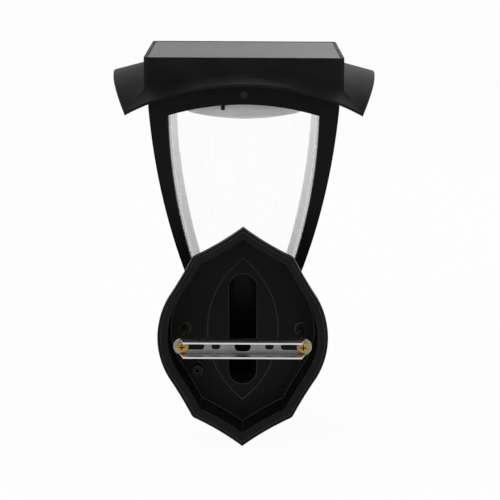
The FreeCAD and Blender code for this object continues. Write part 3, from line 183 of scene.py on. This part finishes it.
def moulded_grain_group():
    """Broad cloudiness and fine grain of a surface, and a height with small pits for the bump."""
    group, tree, given, out = new_group("moulded_grain", [
        ("Vector", VECTOR, None),
        ("Cloud Scale", FLOAT, 30.0),
        ("Grain Scale", FLOAT, 1500.0),
    ], [("Cloud", FLOAT), ("Grain", FLOAT), ("Height", FLOAT)])
    at = given["Vector"]
    cloud = tree.noise(at, given["Cloud Scale"], detail=3.0, roughness=0.55)
    grain = tree.noise(at, given["Grain Scale"], detail=4.0, roughness=0.6)
    pits = tree.cells(at, given["Grain Scale"])["Distance"]
    height = tree.plus(tree.times(grain, 0.6), tree.remap(pits, 0.0, 0.7, 0.0, 0.5))
    tree.give(out.inputs["Cloud"], tree.remap(cloud, 0.35, 0.65))
    tree.give(out.inputs["Grain"], tree.remap(grain, 0.3, 0.7))
    tree.give(out.inputs["Height"], height)
    return group


def rounded_edge_group():
    """A rounded normal at hard edges, and a mask of where that rounding is."""
    group, tree, given, out = new_group("rounded_edge", [
        ("Radius", FLOAT, 0.0006),
    ], [("Mask", FLOAT), ("Normal", VECTOR)])
    rounded = tree.add("ShaderNodeBevel", {"Radius": given["Radius"]}, samples=6).outputs[0]
    flat = tree.add("ShaderNodeNewGeometry").outputs["Normal"]
    match = tree.add("ShaderNodeVectorMath", {0: rounded, 1: flat}, operation="DOT_PRODUCT")
    bend = tree.minus(1.0, match.outputs["Value"])
    tree.give(out.inputs["Mask"], tree.remap(bend, 0.02, 0.2))
    tree.give(out.inputs["Normal"], rounded)
    return group


def drawn_streak_group():
    """Fine streaks along one direction, as a drawn sheet or a flow line has."""
    group, tree, given, out = new_group("drawn_streak", [
        ("Vector", VECTOR, None),
        ("Scale", FLOAT, 600.0),
        ("Sharpness", FLOAT, 0.15),
    ], [("Streak", FLOAT)])
    lines = tree.noise(given["Vector"], given["Scale"], detail=5.0, roughness=0.7)
    low = tree.minus(0.5, given["Sharpness"])
    high = tree.plus(0.5, given["Sharpness"])
    tree.give(out.inputs["Streak"], tree.remap(lines, low, high))
    return group


GRAIN = moulded_grain_group()
EDGE = rounded_edge_group()
STREAK = drawn_streak_group()


class Finish(Tree):
    """A material: its tree, its shader, and the groups that most materials share."""

    def __init__(self, name):
        self.material = bpy.data.materials.new(name)
        self.material.use_nodes = True
        super().__init__(self.material.node_tree)
        self.shader = self.tree.nodes["Principled BSDF"]

    def set(self, **values):
        """Sets the shader's sockets; an underscore stands for a space in their names."""
        for key, value in values.items():
            self.give(self.shader.inputs[key.replace("_", " ")], value)

    def group(self, group, values):
        return self.add("ShaderNodeGroup", values, node_tree=group).outputs

    def grain(self, cloud, grain):
        values = {"Vector": self.place(), "Cloud Scale": cloud, "Grain Scale": grain}
        return self.group(GRAIN, values)

    def edge(self, radius):
        return self.group(EDGE, {"Radius": radius})

    def streak(self, scale, stretch, sharpness):
        values = {"Vector": self.place(stretch), "Scale": scale, "Sharpness": sharpness}
        return self.group(STREAK, values)["Streak"]

    def bump(self, height, strength, depth, edge=None):
        values = {"Height": height, "Strength": strength, "Distance": depth}
        if edge is not None:
            values["Normal"] = edge["Normal"]
        self.set(Normal=self.add("ShaderNodeBump", values).outputs[0])


def rgb(red, green, blue):
    return (red, green, blue, 1.0)


def grey(value):
    return rgb(value, value, value)


# Finishes of the light's parts

def black_moulding(name, body=0.0025, edge_highlight=0.02, radius=0.0006, gloss=0.1):
    """Satin black plastic or blackened steel, with a fine grain and painted highlights on its
    edges.
    """
    mat = Finish(name)
    grain = mat.grain(cloud=28.0, grain=2200.0)
    edge = mat.edge(radius)
    base = mat.mix(grain["Cloud"], grey(body * 0.75), grey(body * 1.3))
    # Painted highlight: the edges are tinted paler, standing in for the light they catch.
    base = mat.tint(base, grey(edge_highlight), edge["Mask"], 0.7)
    dust = mat.remap(grain["Grain"], 0.75, 1.0)
    base = mat.tint(base, grey(0.02), dust, 0.1)
    rough = mat.between(grain["Cloud"], 0.4, 0.5)
    rough = mat.plus(rough, mat.times(grain["Grain"], 0.06))
    mat.set(Base_Color=base, Roughness=rough, Specular_IOR_Level=gloss)
    mat.bump(grain["Height"], strength=0.25, depth=0.00006, edge=edge)
    return mat.material


def clear_pane():
    """Clear pressed pane with fine flow lines down it, and a painted reflection that makes it
    greyer and darker the more it is edge on.
    """
    mat = Finish("clear_pane")
    lines = mat.streak(330.0, stretch=(1, 1, 0.035), sharpness=0.12)
    fine = mat.streak(1100.0, stretch=(1, 1, 0.02), sharpness=0.2)
    face_on = mat.mix(lines, rgb(0.985, 0.985, 0.99), WHITE)
    # Painted reflection: the dark grey colour of the pane seen edge on, streaked by its flow lines.
    edge_on_reflection = mat.mix(mat.times(fine, 0.8), rgb(0.1, 0.098, 0.12), rgb(0.01, 0.01, 0.014))
    edge_on_reflection = mat.tint(edge_on_reflection, rgb(0.14, 0.14, 0.165), lines, 0.45)
    slant = mat.add("ShaderNodeLayerWeight", {"Blend": 0.5}).outputs["Facing"]
    # Painted reflection: greyer from a slant, and the edge-on colour when nearly edge on.
    base = mat.mix(mat.remap(slant, 0.13, 0.5), face_on, rgb(0.84, 0.85, 0.88))
    base = mat.mix(mat.remap(slant, 0.55, 0.8), base, edge_on_reflection)
    mat.set(Base_Color=base, Roughness=mat.between(fine, 0.02, 0.06),
            Transmission_Weight=1.0, IOR=1.07, Specular_Tint=rgb(0.25, 0.245, 0.28))
    mat.bump(mat.plus(lines, fine), strength=0.2, depth=0.00006)
    return mat.material


def panel_cover():
    """Frosted cover of the solar panel with faint wipe marks; the cells show through a little."""
    mat = Finish("panel_cover")
    grain = mat.grain(cloud=14.0, grain=1400.0)
    wipe = mat.streak(90.0, stretch=(0.12, 1, 1), sharpness=0.3)
    base = mat.mix(grain["Cloud"], rgb(0.075, 0.079, 0.073), rgb(0.105, 0.109, 0.102))
    base = mat.tint(base, rgb(0.14, 0.144, 0.136), wipe, 0.25)
    mat.set(Base_Color=base, Roughness=mat.between(grain["Grain"], 0.36, 0.46),
            Transmission_Weight=0.45, IOR=1.4, Specular_IOR_Level=0.08)
    mat.bump(grain["Height"], strength=0.2, depth=0.00008)
    return mat.material


def solar_cell():
    """Dark blue crystals with thin conductor lines and wider bars across them."""
    mat = Finish("solar_cell")
    grain = mat.grain(cloud=60.0, grain=700.0)
    fingers = mat.remap(mat.bands(160.0, "X"), 0.9, 0.97)
    bars = mat.remap(mat.bands(14.0, "Y"), 0.985, 0.995)
    lines = mat.larger(fingers, bars)
    crystal = mat.cells(mat.place(), 260.0)["Color"]
    shade = mat.add("ShaderNodeSeparateColor", {"Color": crystal}).outputs[0]
    base = mat.mix(shade, rgb(0.008, 0.012, 0.04), rgb(0.018, 0.028, 0.085))
    base = mat.mix(lines, base, rgb(0.55, 0.56, 0.57))
    mat.set(Base_Color=base, Roughness=mat.between(grain["Grain"], 0.2, 0.35))
    mat.bump(lines, strength=0.4, depth=0.00005)
    return mat.material


def circuit_board():
    """Green board with paler traces under its varnish and tinned pads."""
    mat = Finish("circuit_board")
    cells = mat.cells(mat.place(), 190.0, randomness=0.35, distance="CHEBYCHEV")
    trace = mat.remap(cells["Distance"], 0.42, 0.46)
    spots = mat.cells(mat.place(), 260.0, randomness=0.8)
    pad = mat.remap(spots["Distance"], 0.13, 0.09)
    base = mat.mix(trace, rgb(0.012, 0.09, 0.035), rgb(0.03, 0.19, 0.075))
    base = mat.mix(pad, base, rgb(0.62, 0.6, 0.56))
    mat.set(Base_Color=base, Metallic=mat.times(pad, 0.9), Roughness=mat.between(trace, 0.3, 0.42))
    mat.bump(mat.plus(trace, pad), strength=0.4, depth=0.00006)
    return mat.material


def seal_rubber():
    """Matt black rubber with a light bloom on its grain."""
    mat = Finish("seal_rubber")
    grain = mat.grain(cloud=45.0, grain=900.0)
    base = mat.mix(grain["Cloud"], grey(0.003), grey(0.006))
    base = mat.tint(base, grey(0.03), grain["Grain"], 0.15)
    mat.set(Base_Color=base, Roughness=mat.between(grain["Cloud"], 0.65, 0.8),
            Specular_IOR_Level=0.12)
    mat.bump(grain["Height"], strength=0.4, depth=0.0001, edge=mat.edge(0.0003))
    return mat.material


def white_diffuser():
    """Milky diffuser with faint clouding, a fine frosted grain and painted highlights on its edges.
    """
    mat = Finish("white_diffuser")
    grain = mat.grain(cloud=22.0, grain=1800.0)
    edge = mat.edge(0.0008)
    base = mat.mix(grain["Cloud"], rgb(0.6, 0.605, 0.61), rgb(0.7, 0.7, 0.71))
    # Painted highlight: the edges are tinted paler.
    base = mat.tint(base, rgb(0.85, 0.85, 0.86), edge["Mask"], 0.5)
    mat.set(Base_Color=base, Roughness=mat.between(grain["Grain"], 0.42, 0.55),
            Subsurface_Weight=0.15, Subsurface_Scale=0.004)
    mat.bump(grain["Height"], strength=0.15, depth=0.00005, edge=edge)
    return mat.material


def white_moulding():
    """Satin white plastic."""
    mat = Finish("white_moulding")
    grain = mat.grain(cloud=26.0, grain=1600.0)
    base = mat.mix(grain["Cloud"], rgb(0.72, 0.72, 0.69), rgb(0.8, 0.8, 0.78))
    mat.set(Base_Color=base, Roughness=mat.between(grain["Grain"], 0.32, 0.45))
    mat.bump(grain["Height"], strength=0.2, depth=0.00005, edge=mat.edge(0.0004))
    return mat.material


def lamp_chip():
    """Yellow face speckled by its phosphor, with whitish edges."""
    mat = Finish("lamp_chip")
    grain = mat.grain(cloud=300.0, grain=4500.0)
    edge = mat.edge(0.0003)
    base = mat.mix(grain["Grain"], rgb(0.8, 0.58, 0.12), rgb(0.9, 0.72, 0.25))
    base = mat.mix(edge["Mask"], base, rgb(0.85, 0.85, 0.82))
    mat.set(Base_Color=base, Roughness=mat.between(grain["Cloud"], 0.25, 0.35))
    mat.bump(grain["Height"], strength=0.2, depth=0.00004, edge=edge)
    return mat.material


def board_component():
    """Dark coated parts of a board: grey on one side of it, bluish on the other."""
    mat = Finish("board_component")
    grain = mat.grain(cloud=120.0, grain=2500.0)
    bluish = mat.remap(mat.along("X"), PARTS_DIVIDE - 0.001, PARTS_DIVIDE + 0.001)
    base = mat.mix(bluish, grey(0.02), rgb(0.03, 0.05, 0.11))
    base = mat.tint(base, grey(0.09), grain["Grain"], 0.3)
    mat.set(Base_Color=base, Roughness=mat.between(grain["Cloud"], 0.35, 0.5))
    mat.bump(grain["Height"], strength=0.2, depth=0.00005, edge=mat.edge(0.0003))
    return mat.material


def battery_sleeve():
    """Green shrink sleeve with fine wrinkles along the battery, and bare metal ends."""
    mat = Finish("battery_sleeve")
    wrinkle = mat.streak(420.0, stretch=(1, 0.12, 1), sharpness=0.25)
    grain = mat.grain(cloud=40.0, grain=1500.0)
    from_middle = mat.math("ABSOLUTE", mat.minus(mat.along("Y"), BATTERY_MIDDLE))
    end = mat.remap(from_middle, 0.0308, 0.0312)
    base = mat.mix(grain["Cloud"], rgb(0.03, 0.16, 0.06), rgb(0.045, 0.21, 0.085))
    base = mat.mix(end, base, grey(0.6))
    mat.set(Base_Color=base, Metallic=end, Roughness=mat.between(wrinkle, 0.22, 0.36))
    mat.bump(wrinkle, strength=0.2, depth=0.00008)
    return mat.material


def fold_shading(mat, base):
    """Paints light and shade on the mounting bar's flanges: a painted highlight paling them towards
    their edges, and a painted shade line near the web.
    """
    depth = mat.along("Y")
    # Painted highlight: the flanges pale towards their edges.
    base = mat.mix(mat.remap(depth, -0.0325, -0.036), base, grey(0.62))
    # Painted shade: a dark line along the flanges near the web.
    from_line = mat.math("ABSOLUTE", mat.minus(depth, FOLD_SHADE_LINE))
    return mat.mix(mat.remap(from_line, 0.0013, 0.0006, 0.0, 0.85), base, grey(0.05))


def bright_steel(name, shade, rough, stretch, radius=0.0003, fold_light_and_shade=False):
    """Plated steel with drawing lines, cloudy plating and painted highlights on its edges."""
    mat = Finish(name)
    lines = mat.streak(500.0, stretch, sharpness=0.22)
    grain = mat.grain(cloud=70.0, grain=1200.0)
    edge = mat.edge(radius)
    base = mat.mix(grain["Cloud"], grey(shade * 0.8), grey(shade))
    base = mat.tint(base, grey(shade * 0.62), lines, 0.35)
    # A folded bar also gets painted light and shade on its flanges.
    if fold_light_and_shade:
        base = fold_shading(mat, base)
    # Painted highlight: the edges are tinted near white.
    base = mat.tint(base, grey(0.92), edge["Mask"], 0.8)
    scratch = mat.plus(mat.times(lines, 0.14), mat.times(grain["Grain"], 0.06))
    mat.set(Base_Color=base, Roughness=mat.plus(scratch, rough), Metallic=1.0)
    height = mat.plus(lines, grain["Height"])
    mat.bump(height, strength=0.18, depth=0.00005, edge=edge)
    return mat.material


def recess_shade_mask(mat):
    """A mask of the cross recess in the long screws' heads, where painted shade goes."""
    across = mat.minus(mat.math("ABSOLUTE", mat.along("X")), SCREW_SIDE)
    up = mat.minus(mat.along("Z"), SCREW_LEVEL)
    depth = mat.along("Y")
    from_axis = mat.math("POWER", mat.plus(mat.times(across, across), mat.times(up, up)), 0.5)
    near_axis = mat.remap(from_axis, 0.0028, 0.0026)
    below_face = mat.remap(depth, RECESS_TOP, RECESS_TOP + 0.00015)
    above_shank = mat.remap(depth, THREAD_START, THREAD_START - 0.0002)
    return mat.times(near_axis, mat.times(below_face, above_shank))


def brass(name, threaded=False):
    """Slightly tarnished brass with painted highlights on its edges; the long screws also carry
    their thread, with painted shade in its grooves and in the cross recess of their heads.
    """
    mat = Finish(name)
    grain = mat.grain(cloud=160.0, grain=2600.0)
    edge = mat.edge(0.0003)
    base = mat.mix(grain["Cloud"], rgb(0.26, 0.155, 0.045), rgb(0.46, 0.3, 0.1))
    base = mat.tint(base, rgb(0.3, 0.19, 0.08), grain["Grain"], 0.25)
    # Painted highlight: the edges are tinted pale gold.
    base = mat.tint(base, rgb(0.95, 0.82, 0.52), edge["Mask"], 0.6)
    height, depth = grain["Height"], 0.00005
    if threaded:
        # Painted shade: the cross recess in the heads is darkened nearly to black.
        base = mat.mix(recess_shade_mask(mat), base, rgb(0.03, 0.018, 0.006))
        turns = mat.bands(math.pi / 10 / THREAD_PITCH, "Y")
        turns = mat.times(turns, mat.remap(mat.along("Y"), THREAD_START, THREAD_START + 0.0002))
        # Painted shade: the thread's grooves are darkened a little.
        base = mat.tint(base, rgb(0.25, 0.16, 0.07), turns, 0.35)
        height, depth = mat.minus(mat.times(height, 0.2), turns), 0.00025
    mat.set(Base_Color=base, Roughness=mat.between(grain["Cloud"], 0.2, 0.34), Metallic=1.0)
    mat.bump(height, strength=0.5, depth=depth, edge=edge)
    return mat.material


# Dressing the frame's own parts

def dress(material, *names):
    """Gives nodes their finish, and smooth shading up to their hard edges."""
    for name in names:
        part = nodes[name]
        faces = part.data.polygons
        part.data.materials.clear()
        part.data.materials.append(material)
        faces.foreach_set("material_index", [0] * len(faces))
        faces.foreach_set("use_smooth", [True] * len(faces))
        weld = part.modifiers.new("weld", "WELD")
        weld.merge_threshold = WELD_REACH
        split = part.modifiers.new("hard_edges", "EDGE_SPLIT")
        split.split_angle = HARD_EDGE
        split.use_edge_sharp = False


def dress_plastics():
    # In each black moulding, the value after body sets how pale its painted edge highlight is.
    dress(black_moulding("roof_moulding", body=0.01, edge_highlight=0.03, gloss=0.03), "roof_cap")
    dress(black_moulding("black_moulding"), "lantern_frame", "lantern_base", "lamp_tray")
    dress(black_moulding("plate_moulding", body=0.0035, edge_highlight=0.16, radius=0.0009),
          "back_plate", "wall_arm")
    dress(black_moulding("small_moulding", body=0.004, edge_highlight=0.03, radius=0.0003),
          "battery_holder", "switch_case", "switch_knob")
    dress(clear_pane(), "pane_back", "pane_right", "pane_front", "pane_left")
    dress(panel_cover(), "panel_glass")
    dress(seal_rubber(), "panel_seal", "wall_gasket", "cap_seals")
    dress(white_diffuser(), "dome_diffuser")
    dress(white_moulding(), "reflector")


def dress_electrics():
    dress(solar_cell(), "solar_cells")
    dress(circuit_board(), "panel_board", "lamp_board", "control_board")
    dress(lamp_chip(), "lamp_chips")
    dress(board_component(), "board_parts")
    dress(battery_sleeve(), "battery_cell")


def dress_metals():
    dress(bright_steel("spring_steel", shade=0.66, rough=0.2, stretch=(1, 1, 0.1)),
          "battery_contacts", "pane_clips")
    dress(bright_steel("screw_steel", shade=0.6, rough=0.24, stretch=(1, 1, 1)),
          "tray_screws", "reflector_screws", "board_screws", "base_screws", "arm_screws")
    # The rail screws get a strong painted highlight on their edges.
    dress(black_moulding("blackened_steel", body=0.003, edge_highlight=0.25, radius=0.0002, gloss=0.3),
          "rail_screws")
    dress(bright_steel("plated_steel", shade=0.27, rough=0.2, stretch=(0.06, 1, 1),
                       radius=0.0004, fold_light_and_shade=True), "mounting_bar")
    dress(brass("threaded_brass", threaded=True), "long_screws")
    dress(brass("turned_brass"), "bar_washers", "bar_nuts", "cap_nuts")


# Studio

def put_in_scene(name, data):
    made = bpy.data.objects.new(name, data)
    scene.collection.objects.link(made)
    return made


def pale_floor():
    """A wide floor under the light, nearly white where it is seen, with a trace of shadow."""
    low = cad_box[0][2] - FLOOR_GAP
    mesh = bpy.data.meshes.new("studio_floor")
    plane = bmesh.new()
    bmesh.ops.create_grid(plane, x_segments=1, y_segments=1, size=FLOOR_HALF,
                          matrix=Matrix.Translation((0, 0, low)))
    plane.to_mesh(mesh)
    plane.free()
    mat = Finish("pale_floor")
    cloud = mat.noise(mat.place(), 1.5)
    mat.set(Base_Color=mat.mix(cloud, grey(0.88), grey(0.92)), Roughness=0.9)
    glow = mat.add("ShaderNodeEmission", {"Color": WHITE, "Strength": 1.0})
    share = mat.times(mat.shown(), FLOOR_WHITE)
    blend = mat.add("ShaderNodeMixShader",
                    {0: share, 1: mat.shader.outputs[0], 2: glow.outputs[0]})
    out = mat.tree.nodes["Material Output"]
    mat.give(out.inputs["Surface"], blend.outputs[0])
    mesh.materials.append(mat.material)
    floor = put_in_scene("studio_floor", mesh)


def white_backdrop():
    """White where it is seen, and a plain soft light elsewhere."""
    world = bpy.data.worlds.new("studio")
    world.use_nodes = True
    scene.world = world
    tree = Tree(world.node_tree)
    world.node_tree.nodes.clear()
    soft = tree.add("ShaderNodeBackground", {"Color": WHITE, "Strength": SOFT_SKY})
    white = tree.add("ShaderNodeBackground", {"Color": WHITE, "Strength": 1.0})
    blend = tree.add("ShaderNodeMixShader",
                     {0: tree.shown(), 1: soft.outputs[0], 2: white.outputs[0]})
    tree.add("ShaderNodeOutputWorld", {"Surface": blend.outputs[0]})


def soft_light(name, at, width, watts):
    """A square lamp turned to a point near the light's middle."""
    data = bpy.data.lights.new(name, "AREA")
    data.shape = "SQUARE"
    data.size = width
    data.energy = watts
    lamp = put_in_scene(name, data)
    lamp.location = at
    way = [b - a for a, b in zip(at, LIT_POINT)]
    level = math.hypot(way[0], way[1])
    lamp.rotation_euler = (math.atan2(level, -way[2]), 0, math.atan2(-way[0], way[1]))


def photo_camera():
    data = bpy.data.cameras.new("photo_camera")
    data.lens = LENS
    data.sensor_width = SENSOR
    data.clip_start = CLIP_NEAR
    data.clip_end = CLIP_FAR
    camera = put_in_scene("photo_camera", data)
    camera.location = CAMERA_PLACE
    aim = Euler((math.radians(CAMERA_TILT), 0.0, math.radians(CAMERA_TURN))).to_matrix()
    roll = Matrix.Rotation(math.radians(CAMERA_ROLL), 3, "Z")
    camera.rotation_euler = (aim @ roll).to_euler()
    scene.camera = camera


photo_camera()
dress_plastics()
dress_electrics()
dress_metals()
pale_floor()
white_backdrop()
for lamp_values in LAMPS:
    soft_light(*lamp_values)
scene.view_settings.view_transform = "Standard"
